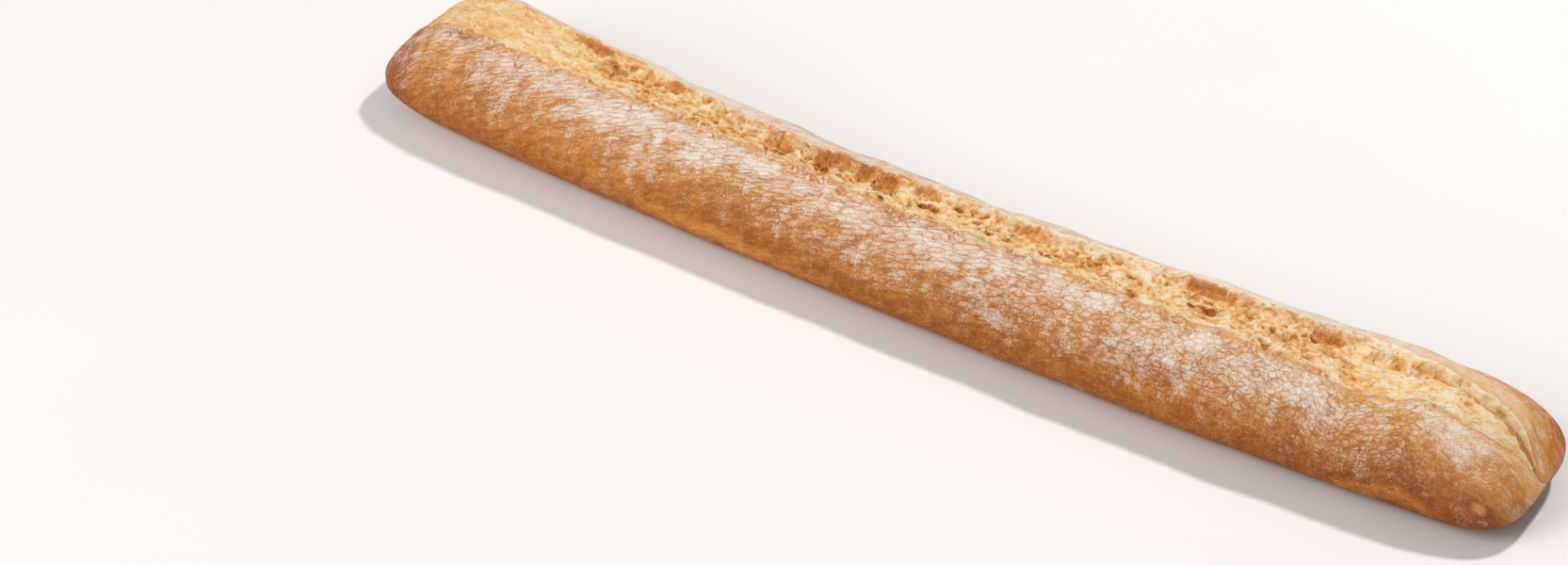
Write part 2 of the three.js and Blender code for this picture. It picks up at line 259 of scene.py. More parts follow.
def opening(distance, rounding, squareness):
    """How far a blunt end has opened at a distance from its tip: 0 at the tip, 1 past the rounding."""
    left = np.clip(1 - distance / rounding, 0, 1)
    return (1 - left**squareness) ** (1 / squareness)


def fullness(x):
    """The loaf's girth along it, as a share of the full one: least at the waist, most at the ends."""
    u = x / (LENGTH / 2)
    return WAIST + np.where(u < 0, LEFT_SWELL * u * u, RIGHT_SWELL * smooth(u / RIGHT_SWELL_REACH))


def from_tip(x):
    """The distance along the loaf to its nearer tip."""
    return LENGTH / 2 - np.abs(x)


def at_end(x, pair):
    """The left or the right end's value, whichever end is nearer."""
    return np.where(x < 0, pair[0], pair[1])


def taper(x):
    """How far an end has drawn in: 0 in the loaf's length, 1 at its tip."""
    return np.clip(1 - from_tip(x) / END_TAPER, 0, 1) ** 2


def half_width(x):
    """Half the loaf's width at its widest height."""
    return WIDTH / 2 * fullness(x) * (1 - (1 - at_end(x, END_WIDTH)) * taper(x))


def loaf_height(x):
    """The loaf's height above its base, before its ends round off."""
    return HEIGHT * fullness(x) * (1 - (1 - at_end(x, END_HEIGHT)) * taper(x))


def outline(x, angle):
    """Points of the loaf's smooth outline: the angle starts at the far side and turns over the top."""
    across, up = np.cos(angle), np.sin(angle)
    height = loaf_height(x)
    closes = at_end(x, END_CENTRE)
    squareness = np.where(up >= 0, TOP_SQUARENESS, BASE_SQUARENESS)
    open_wide = opening(from_tip(x), at_end(x, END_ROUND_WIDE), at_end(x, END_SQUARE_WIDE))
    open_high = opening(from_tip(x), at_end(x, END_ROUND_HIGH), at_end(x, END_SQUARE_HIGH))
    side = half_width(x) * np.sign(across) * np.abs(across) ** (2 / squareness) * open_wide
    reach = np.where(up >= 0, (1 - WIDEST_AT) * height, WIDEST_AT * height + BASE_CUT)
    z = WIDEST_AT * height + np.sign(up) * reach * np.abs(up) ** (2 / squareness)
    skew = at_end(x, END_SKEW) * side * np.exp(-from_tip(x) / END_SKEW_REACH)
    turn = at_end(x, END_TURN) * np.clip(1 - from_tip(x) / END_TURN_REACH, 0, 1) ** 2
    y = -BOW * (1 - (x / (LENGTH / 2)) ** 2) + turn + side
    return np.stack([x + skew, y, closes + open_high * (np.maximum(z, 0) - closes)], -1)


def outward(x, angle):
    """The outline's outward direction at the same points."""
    small_turn, small_step, furthest = 0.01, 0.2, LENGTH / 2 - 0.01
    turned = outline(x, angle - small_turn) - outline(x, angle + small_turn)
    ahead = np.minimum(x + small_step, furthest)
    back = np.maximum(x - small_step, -furthest)
    normal = -np.cross(turned, outline(ahead, angle) - outline(back, angle))
    return normal / np.maximum(np.linalg.norm(normal, axis=-1, keepdims=True), 1e-9)


def angle_of_share(share):
    """The outline's angle at a share of the half width, on its upper side."""
    return np.arccos(np.clip(np.sign(share) * np.abs(share) ** (TOP_SQUARENESS / 2), -1, 1))


def base_edge_angle(x):
    """The outline's angle where the far side meets the flat base."""
    reach = WIDEST_AT * loaf_height(x)
    return -np.arcsin((reach / (reach + BASE_CUT)) ** (BASE_SQUARENESS / 2))


def lip_share(table, x, phase):
    """Where a lip runs, as a share of the half width, with its slow waves and its fine rags."""
    wave = sum(
        height * np.sin(x * 2 * np.pi / length + phase + i) for i, (length, height) in enumerate(LIP_WAVES)
    )
    ragged = sum(
        height * knotted(x, length, LIP_RAG_SEED + phase + i) for i, (length, height) in enumerate(LIP_RAGS)
    )
    uneven = (wave + ragged) / half_width(x)
    return along(table, x) + uneven * smooth(from_tip(x) / END_CALM)


def lips(x):
    """The near and the far lip's shares of the half width, kept a little apart where the slash closes."""
    near = lip_share(NEAR_LIP, x, 0)
    far = np.maximum(lip_share(FAR_LIP, x, 2), near + LEAST_GAP)
    return near, far


def seeded_draw(seed):
    """The loaf's own draw of shares between 0 and 1."""
    state = seed
    while True:
        state = (state * DRAW_FACTOR + DRAW_STEP) % DRAW_RANGE
        yield state / DRAW_RANGE


def bubbles():
    """The smaller open bubbles, drawn in the same order as the loaf's."""
    draw = seeded_draw(BUBBLE_SEED)
    made = []
    for _ in range(BUBBLE_COUNT):
        radius = BUBBLE_RADIUS[0] + (BUBBLE_RADIUS[1] - BUBBLE_RADIUS[0]) * next(draw)
        place = BUBBLE_REACH[0] + (BUBBLE_REACH[1] - BUBBLE_REACH[0]) * next(draw)
        share = BUBBLE_FIRST_SHARE + BUBBLE_SPREAD * next(draw)
        made.append((place, share, radius * BUBBLE_STRETCH, radius, radius * BUBBLE_DEPTH))
    return made


def crumb_depth(x, share, width):
    """How deep the crumb lies under the outline, how hollow it is, and how near a large cavity's far wall."""
    inside = np.clip(share, 0, 1)
    valley = along(VALLEY, x, 1) * np.sin(np.pi * inside ** along(VALLEY, x, 2))
    hollow = np.zeros_like(x + share)
    cavity = np.zeros_like(hollow)
    large = CAVITIES + HOLES
    for i, (place, middle, half_length, half_wide, depth) in enumerate(large + bubbles()):
        a = (x - place) / half_length
        b = (share - middle) * width / half_wide
        ragged = sum(amount * np.sin(x * turns + share * across + i) for amount, turns, across in BUBBLE_RAGS)
        cup = np.sqrt(np.clip(1 - (a * a + b * b) * (1 + ragged), 0, 1))
        hollow = np.maximum(hollow, depth * cup)
        if i < len(large):
            cavity = np.maximum(cavity, cup * rising(b, start=-0.7, over=1.2))
    return valley + NEAR_LIP_STEP * (1 - inside) + hollow, hollow, cavity


# The rounded ends' own rings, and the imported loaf's rings and angles, which place its box
END_ZONE = 40
PACKED_STEP = 4
PACKED_END_COUNT = 11
PACKED_ANGLES = 181


def stations(step, end_count):
    """Places along the loaf: close together in the rounded ends, evenly spaced between them."""
    rounding = END_ZONE * (1 - np.cos(np.arange(1, end_count + 1) / end_count * np.pi / 2))
    straight = LENGTH - 2 * END_ZONE
    steps = round(straight / step)
    middle = -straight / 2 + np.arange(1, steps) * straight / steps
    return np.concatenate([rounding - LENGTH / 2, middle, LENGTH / 2 - rounding[::-1]])[:, None]


def part_shift():
    """The shift that centres the loaf over the origin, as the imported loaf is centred."""
    x = stations(PACKED_STEP, PACKED_END_COUNT)
    box = outline(x, np.linspace(0, 2 * np.pi, PACKED_ANGLES)[None, :]).reshape(-1, 3)
    return np.array([-(box[:, 0].min() + box[:, 0].max()) / 2, -(box[:, 1].min() + box[:, 1].max()) / 2, 0])


SHIFT = part_shift()


def closed_tube(name, grid, attributes):
    """A closed mesh from rings of points, with a fan at each end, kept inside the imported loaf's box."""
    rings, columns = grid.shape[:2]
    low = np.array(CAD_LOW) / MM - SHIFT
    high = np.array(CAD_HIGH) / MM - SHIFT
    points = np.clip(grid.reshape(-1, 3), low, high) + SHIFT
    tips = [points[:columns].mean(0), points[-columns:].mean(0)]
    points = np.vstack([points, tips]) * MM
    r, c = np.meshgrid(np.arange(rings - 1), np.arange(columns), indexing="ij")
    here, beside = r * columns + c, r * columns + (c + 1) % columns
    quads = np.stack([here, here + columns, beside + columns, beside], -1).reshape(-1, 4)
    first = np.arange(columns)
    second = (first + 1) % columns
    last = (rings - 1) * columns
    left = np.stack([np.full(columns, len(points) - 2), first, second], -1)
    right = np.stack([np.full(columns, len(points) - 1), last + second, last + first], -1)
    mesh = bpy.data.meshes.new(name)
    mesh.from_pydata(points.tolist(), [], quads.tolist() + left.tolist() + right.tolist())
    mesh.polygons.foreach_set("use_smooth", np.ones(len(mesh.polygons), bool))
    for title, values in attributes.items():
        values = np.broadcast_to(values, (rings, columns) + values.shape[2:]).reshape(rings * columns, -1)
        values = np.vstack([values, values[:1], values[-1:]])
        kind, field = ("FLOAT_VECTOR", "vector") if values.shape[1] == 3 else ("FLOAT", "value")
        layer = mesh.attributes.new(title, kind, "POINT")
        layer.data.foreach_set(field, values.astype(np.float32).ravel())
    mesh.update()
    piece = bpy.data.objects.new(name, mesh)
    bpy.context.scene.collection.objects.link(piece)
    return piece


def patches(x, down, rows):
    """The sum of soft-edged patches at each point of the near side."""
    total = np.zeros_like(x + down)
    for place, middle, half_length, half_high, strength in rows:
        r = np.hypot((x - place) / half_length, (down - middle) / half_high)
        total += strength * (1 - rising(r, start=0.35, over=1.1))
    return total


def knotted(x, length, seed):
    """A smooth random curve along the loaf, between -1 and 1, with a knot at each length."""
    knots = np.random.default_rng(seed).uniform(-1, 1, int(LENGTH / length) + 4)
    place = (x + LENGTH / 2) / length + 1
    i = place.astype(int)
    return knots[i] + (knots[i + 1] - knots[i]) * smooth(place - i)


# The crust's groove under the crumb, as (share across the slash, share of the groove's depth)
GROOVE = [
    (0.015, 0.08), (0.03, 0.35), (0.15, 0.8), (0.4, 1), (0.7, 1), (0.95, 0.8), (1.05, 0.45), (1.03, 0.15),
]
GROOVE_DEPTH = 12
# The share of its depth that comes in over the end's taper: the rest comes in close to the tip
GROOVE_AT_TAPER = 0.9
# The crust's rings and columns
CRUST_STEP = 1.2
CRUST_END_COUNT = 44
SIDE_COLUMNS = 78
SIDE_CROWDING = 1.35
BASE_COLUMNS = 8
LIP_ROUNDING = 2.2

# Wrinkles are drawn out along the loaf: how closely packed they are at the left, how much more at the right,
# how strong they are on the far side, and how high above the base they reach their strength
FLOW_PLACES = 1200
LEFT_PACKING = 0.28
RIGHT_PACKING = 0.24
FAR_SKIN = 0.2
BASE_SMOOTH = 5

# Flour: the dribbles at the foot of its band, as (length, seed, reach), how far down it is full, how much of
# it is left on each torn edge, and what the low side has lost, as (from, over, how much)
FLOUR_DRIBBLES = [(4.3, 11, 7), (11, 12, 6)]
DRIBBLE_IN_PATCHES = 0.4
FLOUR_FULL = 4
FAR_FLOUR_OVER = 50
NEAR_EDGE_FLOUR = 0.65
FAR_EDGE_FLOUR = 0.35
PATCH_STRENGTH = 0.34
TIP_FLOUR = 0.55
LOW_SIDE_LOSSES = [(14, 12, 0.03), (32, 14, 0.32)]
DUST_STRENGTH = 0.05

# Baking and painted shade, from pale to dark: at the lip, and how much more it is low on the side, to the
# right and at the tips
BAKE_AT_LIP = 0.265
BAKE_LOW = 0.55
BAKE_LOW_OVER = 55
# To the right and at the right tip the darkening is partly painted shade, where the fill light is weaker and
# the end gets little of the key light
BAKE_AND_SHADE_RIGHT = 0.38
BAKE_AND_SHADE_RIGHT_TIP = 0.12
BAKE_LEFT_TIP = 0.3
# How much paler the skin is where it was drawn out beside the slash's right end, on either side
FAR_DRAWN_SKIN = 0.8
NEAR_DRAWN_SKIN = 0.4

# Flakes come in knots along the near lip, and toasting and the torn edge reach this far from the lips
FLAKE_KNOTS = 5.5
FLAKE_SEED = 21
TOAST_REACH = 2.4
TORN_EDGE_REACH = 1.6


def crust_angles(x, near, far):
    """The crust's columns: the groove, down the far side, along the base and up the near side."""
    near_lip, far_lip = angle_of_share(near), angle_of_share(far)
    far_edge = base_edge_angle(x)
    near_edge = -np.pi - far_edge
    groove = np.array(GROOVE)[None, :, 0]
    down = (np.arange(SIDE_COLUMNS) / SIDE_COLUMNS)[None, :] ** SIDE_CROWDING
    base = (np.arange(BASE_COLUMNS) / BASE_COLUMNS)[None, :]
    up = (np.arange(SIDE_COLUMNS, 0, -1) / SIDE_COLUMNS)[None, :] ** SIDE_CROWDING
    return np.concatenate([
        near_lip,
        angle_of_share(near + (far - near) * groove),
        far_lip + (far_edge - far_lip) * down,
        far_edge + (near_edge - far_edge) * base,
        near_lip - 2 * np.pi + (near_edge - near_lip + 2 * np.pi) * up,
    ], 1)


def crust_flow(x, down):
    """Coordinates that follow the wrinkles: drawn out along the loaf and slanted as the skin is."""
    places = np.linspace(-LENGTH / 2, LENGTH / 2, FLOW_PLACES)
    packing = LEFT_PACKING + RIGHT_PACKING * rising(places, start=20, over=120)
    run, climb = [
        np.interp(x, places, np.concatenate([[0], np.cumsum(rate[1:] * np.diff(places))]))
        for rate in (packing, along(WRINKLE_SLANT, places))
    ]
    return np.stack([np.broadcast_to(run, down.shape), down - climb, np.zeros_like(down)], -1)


def crust_flour(x, from_lip, is_far, near_side, ends):
    """How much flour lies on the crust: a band and patches on the near side, and a haze on the far side."""
    dribble = sum(far_down * knotted(x, length, seed) for length, seed, far_down in FLOUR_DRIBBLES)
    reach = along(FLOUR_BAND, x, 2) + dribble
    band = along(FLOUR_BAND, x) * (1 - rising(from_lip, start=FLOUR_FULL, over=reach))
    near_edge = NEAR_EDGE_FLOUR + (1 - NEAR_EDGE_FLOUR) * rising(from_lip, start=1, over=3.5)
    far_edge = FAR_EDGE_FLOUR + (1 - FAR_EDGE_FLOUR) * rising(from_lip, start=0.8, over=3)
    far_haze = along(FAR_FLOUR, x) * (1 - rising(from_lip, start=FLOUR_FULL, over=FAR_FLOUR_OVER))
    haze = np.where(is_far, far_haze * far_edge, band * near_edge)
    patch = patches(x, from_lip + DRIBBLE_IN_PATCHES * dribble, FLOUR_PATCHES) * near_side
    lost = sum(much * rising(from_lip, start, over) for start, over, much in LOW_SIDE_LOSSES)
    return (haze + PATCH_STRENGTH * patch) * (TIP_FLOUR + (1 - TIP_FLOUR) * ends) - lost


def crust_bake_and_shade(x, from_lip, is_far, near_side):
    """How dark the crust is: baked darker low on the side and at both tips, and darker to the right and at
    the right tip partly as painted shade.
    """
    low = BAKE_LOW * rising(from_lip, start=0, over=BAKE_LOW_OVER)
    # Partly painted shade: darker low on the right, where the fill light is weaker
    to_right = BAKE_AND_SHADE_RIGHT * rising(x, start=140, over=90) * rising(from_lip, start=20, over=25)
    # The right tip is darker partly as painted shade, as its end gets little of the key light; the left tip
    # is baked darker
    tips = BAKE_AND_SHADE_RIGHT_TIP * rising(x, start=258, over=24) + BAKE_LEFT_TIP * rising(-x, start=250, over=18)
    near_drawn = rising(x, start=205, over=20) * (1 - rising(from_lip, start=1, over=9)) * near_side
    far_drawn = rising(x, start=185, over=20) * (1 - rising(x, start=255, over=18))
    far_drawn = np.where(is_far, far_drawn * (1 - rising(from_lip, start=2, over=16)), 0)
    paler = FAR_DRAWN_SKIN * far_drawn + NEAR_DRAWN_SKIN * near_drawn
    return BAKE_AT_LIP + low + to_right + patches(x, from_lip, BAKE_PATCHES) * near_side + tips - paler


def crust_body():
    """The browned crust: the whole loaf with a groove where the slash opens."""
    x = stations(CRUST_STEP, CRUST_END_COUNT)
    near, far = lips(x)
    angle = crust_angles(x, near, far)
    surface = outline(x, angle)
    far_column = 1 + len(GROOVE)
    base_column = far_column + SIDE_COLUMNS + BASE_COLUMNS // 2
    columns = np.arange(angle.shape[1])[None, :]
    is_groove = (columns > 0) & (columns < far_column)
    is_far = (columns >= far_column) & (columns < base_column)
    near_side = np.where(is_far | is_groove, 0, 1)
    # The distance over the surface to the nearer lip
    steps = np.linalg.norm(np.diff(surface, axis=1, append=surface[:, :1]), axis=-1)
    walked = np.cumsum(steps, 1) - steps
    from_far = walked - walked[:, far_column:far_column + 1]
    from_near = walked[:, -1:] + steps[:, -1:] - walked
    from_lip = np.where(is_far, from_far, np.where(columns == 0, 0, from_near))
    # The surface, with its raised lips, low swells and groove
    ends = smooth(from_tip(x) / END_CALM)
    lip_round = np.exp(-((from_lip / LIP_ROUNDING) ** 2))
    rise = np.where(is_far, along(FAR_LIP_RISE, x), NEAR_LIP_RISE) * lip_round
    swell = sum(
        height * np.sin(x * 2 * np.pi / length + i) * np.cos(angle * WIDTH / 2 * 2 * np.pi / round_ + 2 * i)
        for i, (length, round_, height) in enumerate(CRUST_SWELLS)
    )
    clear = smooth(from_lip / SWELL_CLEARS_LIP) * smooth(surface[..., 2] / SWELL_CLEARS_BASE)
    out = (rise + swell * clear) * ends
    depth = np.zeros_like(out)
    depth[:, 1:far_column] = GROOVE_DEPTH * np.array(GROOVE)[None, :, 1]
    tapered, faded = smooth(from_tip(x) / END_TAPER), smooth(from_tip(x) / SLASH_FADES_OVER)
    fade = GROOVE_AT_TAPER * tapered + (1 - GROOVE_AT_TAPER) * faded
    out = np.where(is_groove, -depth * fade, out)
    points = surface + outward(x, angle) * out[..., None]
    overhangs = is_far & (from_lip < 3 * LIP_ROUNDING)
    points[..., 1] -= np.where(overhangs, FAR_LIP_OVERHANG * lip_round, 0) * ends
    points[..., 2] = np.maximum(points[..., 2], 0)
    # What the relief and the material read
    down = np.where(is_far, from_lip, -from_lip)
    wrap = np.stack([np.broadcast_to(x, angle.shape), down, np.zeros_like(down)], -1)
    far_drift, near_drift = far - along(FAR_LIP, x), along(NEAR_LIP, x) - near
    drift = np.where(columns < base_column, far_drift, near_drift) * half_width(x)
    flow = crust_flow(x, np.where(is_far, 1, -1) * (from_lip + drift))
    skin = np.where(is_groove, 0, rising(from_lip, start=0.3, over=2.5))
    skin = skin * smooth(points[..., 2] / BASE_SMOOTH)
    near_skin = (1 - 0.6 * rising(x, start=225, over=30)) * (1 - 0.6 * rising(from_lip, start=18, over=18))
    flaked = near_side * along(FLAKED, x) * smooth(from_lip / 0.5) * (1 - rising(from_lip, start=2, over=3.5))
    toasted = along(TOAST, x) * np.exp(-((from_lip / TOAST_REACH) ** 2))
    return closed_tube("crust", points, {
        "wrap": wrap * MM,
        "flow": flow * MM,
        "flour": crust_flour(x, from_lip, is_far, near_side, ends),
        "dust": DUST_STRENGTH * (1 - rising(from_lip, start=20, over=18)) * near_side,
        "bake_and_shade": crust_bake_and_shade(x, from_lip, is_far, near_side),
        "skin": skin * np.where(is_far, FAR_SKIN, near_skin),
        "lip": np.where(is_groove, 1, np.exp(-((from_lip / TORN_EDGE_REACH) ** 2))),
        "flaked": flaked * rising(knotted(x, FLAKE_KNOTS, FLAKE_SEED), start=-0.5, over=0.9),
        "browned": np.where(is_far, toasted, 0),
    })


# The crumb's rings and columns, where the columns of its underside lie across the slash, and its thickness
CRUMB_STEP = 0.56
CRUMB_END_COUNT = 60
CRUMB_COLUMNS = 66
CRUMB_TUCK = 0.1
CRUMB_UNDERSIDE = (0.9, 0.6, 0.35, 0.1)
CRUMB_THICKNESS = 9
CRUMB_THINNEST = 0.4
# How much deeper the crumb lies where it is tucked under each lip, and how far it climbs to the far one
NEAR_TUCK_DEPTH = 2
FAR_TUCK_DEPTH = 1.2
LEAST_CLIMB = 0.25
CLIMB_OF_LIP = 1.05
HOLLOW_FULL = 5


def crumb_body():
    """The torn white crumb that fills the groove, tucked under both lips."""
    x = stations(CRUMB_STEP, CRUMB_END_COUNT)
    near, far = lips(x)
    width = (far - near) * half_width(x)
    share = np.linspace(-CRUMB_TUCK, 1 + CRUMB_TUCK, CRUMB_COLUMNS)[None, :]
    under = np.array(CRUMB_UNDERSIDE)[None, :]
    depth, hollow, cavity = crumb_depth(x, share, width)
    across_seam = (share - along(SEAM, x, 1)) * width / SEAM_WIDTH
    seam = along(SEAM, x, 2) * np.exp(-across_seam**2) * (x > SEAM[0][0])
    # The crease's depth also darkens the crumb's colour through its hollow value, as painted shade
    depth, hollow = depth + seam, np.maximum(hollow, seam)
    near_tuck, far_tuck = smooth(-share / CRUMB_TUCK), smooth((share - 1) / CRUMB_TUCK)
    climb = (LEAST_CLIMB + CLIMB_OF_LIP * along(FAR_LIP_RISE, x)) * rising(share, start=0.8, over=0.16)
    depth = depth * (1 - 0.8 * rising(share, start=0.9, over=0.08))
    depth = depth + NEAR_TUCK_DEPTH * near_tuck + FAR_TUCK_DEPTH * far_tuck - climb * (1 - far_tuck)
    depth = depth * smooth(from_tip(x) / SLASH_FADES_OVER)
    thick = CRUMB_THINNEST + CRUMB_THICKNESS * smooth(from_tip(x) / END_TAPER)
    low = np.max(depth, 1, keepdims=True) + thick * np.sin(np.pi * under)
    shares = np.concatenate([share, under], 1)
    depths = np.concatenate([depth, low], 1)
    angle = angle_of_share(near + (far - near) * shares)
    points = outline(x, angle) - outward(x, angle) * depths[..., None]
    width_across = np.broadcast_to(width, angle.shape) * shares
    wrap = np.stack([np.broadcast_to(x, angle.shape), width_across, -depths], -1)
    # Toasted towards the far lip, partly as painted shade on the slope that faces away from the key light,
    # and at the near one; the far walls of the large cavities get painted shade
    toast_and_shade = 0.3 * rising(shares, start=0.45, over=0.5) + 0.5 * rising(shares, start=0.86, over=0.08)
    toast_and_shade = toast_and_shade * along(TOAST, x) + 0.6 * rising(-shares, start=-0.14, over=0.14)
    # Painted shade on the far walls of the large cavities, which face away from the key light
    cavity_wall_shade = rising(cavity, start=0.1, over=0.6) * (0.15 + 0.4 * rising(share, start=0.4, over=0.35))
    toast_and_shade[:, :CRUMB_COLUMNS] += cavity_wall_shade * np.where(x < SEAM[0][0], 1, 0.2)
    return closed_tube("crumb", points, {
        "wrap": wrap * MM,
        "torn": along(TORN, x) * rising(shares, start=-0.08, over=0.22) * smooth((1 - shares) / 0.16),
        "hollow": np.concatenate([hollow, np.zeros_like(low)], 1) / HOLLOW_FULL,
        "toast_and_shade": toast_and_shade,
        "golden": along(GOLDEN, x) + 0.4 * rising(-from_tip(x), start=-14, over=10),
    })


def put(tree, kind, inputs=None, out=0, stops=None, **settings):
    """Adds a node with its settings, links and colour stops, and gives the output that is used of it."""
    node = tree.nodes.new(kind)
    for name, value in settings.items():
        setattr(node, name, value)
    for key, value in (inputs or {}).items():
        if isinstance(value, bpy.types.NodeSocket):
            tree.links.new(value, node.inputs[key])
        else:
            node.inputs[key].default_value = value
    for i, (place, colour) in enumerate(stops or []):
        stop = node.color_ramp.elements[i] if i < 2 else node.color_ramp.elements.new(place)
        stop.position, stop.color = place, linear(colour)
    return node.outputs[out] if len(node.outputs) else node


def modifier_tree(name, sizes):
    """An empty Geometry Nodes tree with a geometry input and named sizes."""
    tree = bpy.data.node_groups.new(name, "GeometryNodeTree")
    tree.interface.new_socket("Geometry", in_out="INPUT", socket_type="NodeSocketGeometry")
    for title in sizes:
        tree.interface.new_socket(title, in_out="INPUT", socket_type="NodeSocketFloat")
    tree.interface.new_socket("Geometry", in_out="OUTPUT", socket_type="NodeSocketGeometry")
    return tree, tree.nodes.new("NodeGroupInput").outputs


def finish_tree(tree, geometry, material):
    """Ends a tree with plain meshes in their material."""
    real = put(tree, "GeometryNodeRealizeInstances", {"Geometry": geometry})
    dressed = put(tree, "GeometryNodeSetMaterial", {"Geometry": real, "Material": material})
    put(tree, "NodeGroupOutput", {"Geometry": dressed})


def grow(piece, tree, values):
    """Runs a tree on a piece and keeps the result as a plain mesh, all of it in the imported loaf's box."""
    modifier = piece.modifiers.new(tree.name, "NODES")
    modifier.node_group = tree
    for socket in tree.interface.items_tree:
        if socket.in_out == "INPUT" and socket.name in values:
            modifier[socket.identifier] = values[socket.name]
    bpy.context.view_layer.update()
    graph = bpy.context.evaluated_depsgraph_get()
    grown = piece.evaluated_get(graph)
    made = bpy.data.meshes.new_from_object(grown, preserve_all_data_layers=True, depsgraph=graph)
    places = np.empty(len(made.vertices) * 3, np.float32)
    made.vertices.foreach_get("co", places)
    lowest, highest = np.array(CAD_LOW) + BOX_INSET, np.array(CAD_HIGH) - BOX_INSET
    inside = np.clip(places.reshape(-1, 3), lowest, highest)
    made.vertices.foreach_set("co", inside.ravel())
    made.update()
    piece.modifiers.clear()
    piece.data = made
    return piece


def crust_relief(material):
    """Wrinkles where the skin dried as the dough rose, and small blisters."""
    tree, given = modifier_tree("crust relief", [
        "Wrinkle Spacing", "Wrinkle Depth", "Blister Size", "Blister Height", "Seed"])
    flow = put(tree, "GeometryNodeInputNamedAttribute", {"Name": "flow"}, data_type="FLOAT_VECTOR")
    wrap = put(tree, "GeometryNodeInputNamedAttribute", {"Name": "wrap"}, data_type="FLOAT_VECTOR")
    skin = put(tree, "GeometryNodeInputNamedAttribute", {"Name": "skin"}, data_type="FLOAT")
    spaced = put(tree, "ShaderNodeVectorMath", {0: flow, 1: given["Wrinkle Spacing"]}, operation="DIVIDE")
    folds = put(tree, "ShaderNodeTexNoise", {
        "Vector": spaced, "W": given["Seed"], "Scale": 0.55, "Detail": 1.5, "Distortion": 0.7,
    }, noise_dimensions="4D")
    centred = put(tree, "ShaderNodeMath", {0: folds, 1: 0.5}, operation="SUBTRACT")
    folded = put(tree, "ShaderNodeMath", {0: centred}, operation="ABSOLUTE")
    crease = put(tree, "ShaderNodeMapRange", {
        "Value": folded, "From Min": 0.0, "From Max": 0.1, "To Min": 1.0, "To Max": 0.0,
    }, interpolation_type="SMOOTHSTEP")
    broad = put(tree, "ShaderNodeTexNoise", {
        "Vector": spaced, "W": given["Seed"], "Scale": 0.3, "Detail": 1.0,
    }, noise_dimensions="4D")
    wave = put(tree, "ShaderNodeMath", {0: broad, 1: 0.5}, operation="SUBTRACT")
    lift = put(tree, "ShaderNodeMath", {0: wave, 1: 3.0, 2: -0.5}, operation="MULTIPLY_ADD")
    fold = put(tree, "ShaderNodeMath", {0: lift, 1: crease}, operation="SUBTRACT")
    wrinkled = put(tree, "ShaderNodeMath", {0: fold, 1: given["Wrinkle Depth"]}, operation="MULTIPLY")
    cells = put(tree, "ShaderNodeVectorMath", {0: wrap, 1: given["Blister Size"]}, operation="DIVIDE")
    near = put(tree, "ShaderNodeTexVoronoi", {
        "Vector": cells, "W": given["Seed"], "Scale": 1.0,
    }, voronoi_dimensions="4D")
    dome = put(tree, "ShaderNodeMapRange", {
        "Value": near, "From Min": 0.1, "From Max": 0.55, "To Min": 1.0, "To Max": 0.0,
    }, interpolation_type="SMOOTHSTEP")
    height = put(tree, "ShaderNodeMath", {
        0: dome, 1: given["Blister Height"], 2: wrinkled,
    }, operation="MULTIPLY_ADD")
    masked = put(tree, "ShaderNodeMath", {0: height, 1: skin}, operation="MULTIPLY")
    normal = put(tree, "GeometryNodeInputNormal")
    offset = put(tree, "ShaderNodeVectorMath", {0: normal, "Scale": masked}, operation="SCALE")
    moved = put(tree, "GeometryNodeSetPosition", {"Geometry": given["Geometry"], "Offset": offset})
    kept = put(tree, "GeometryNodeStoreNamedAttribute", {
        "Geometry": moved, "Name": "crease", "Value": crease,
    }, data_type="FLOAT", domain="POINT")
    finish_tree(tree, kept, material)
    return tree


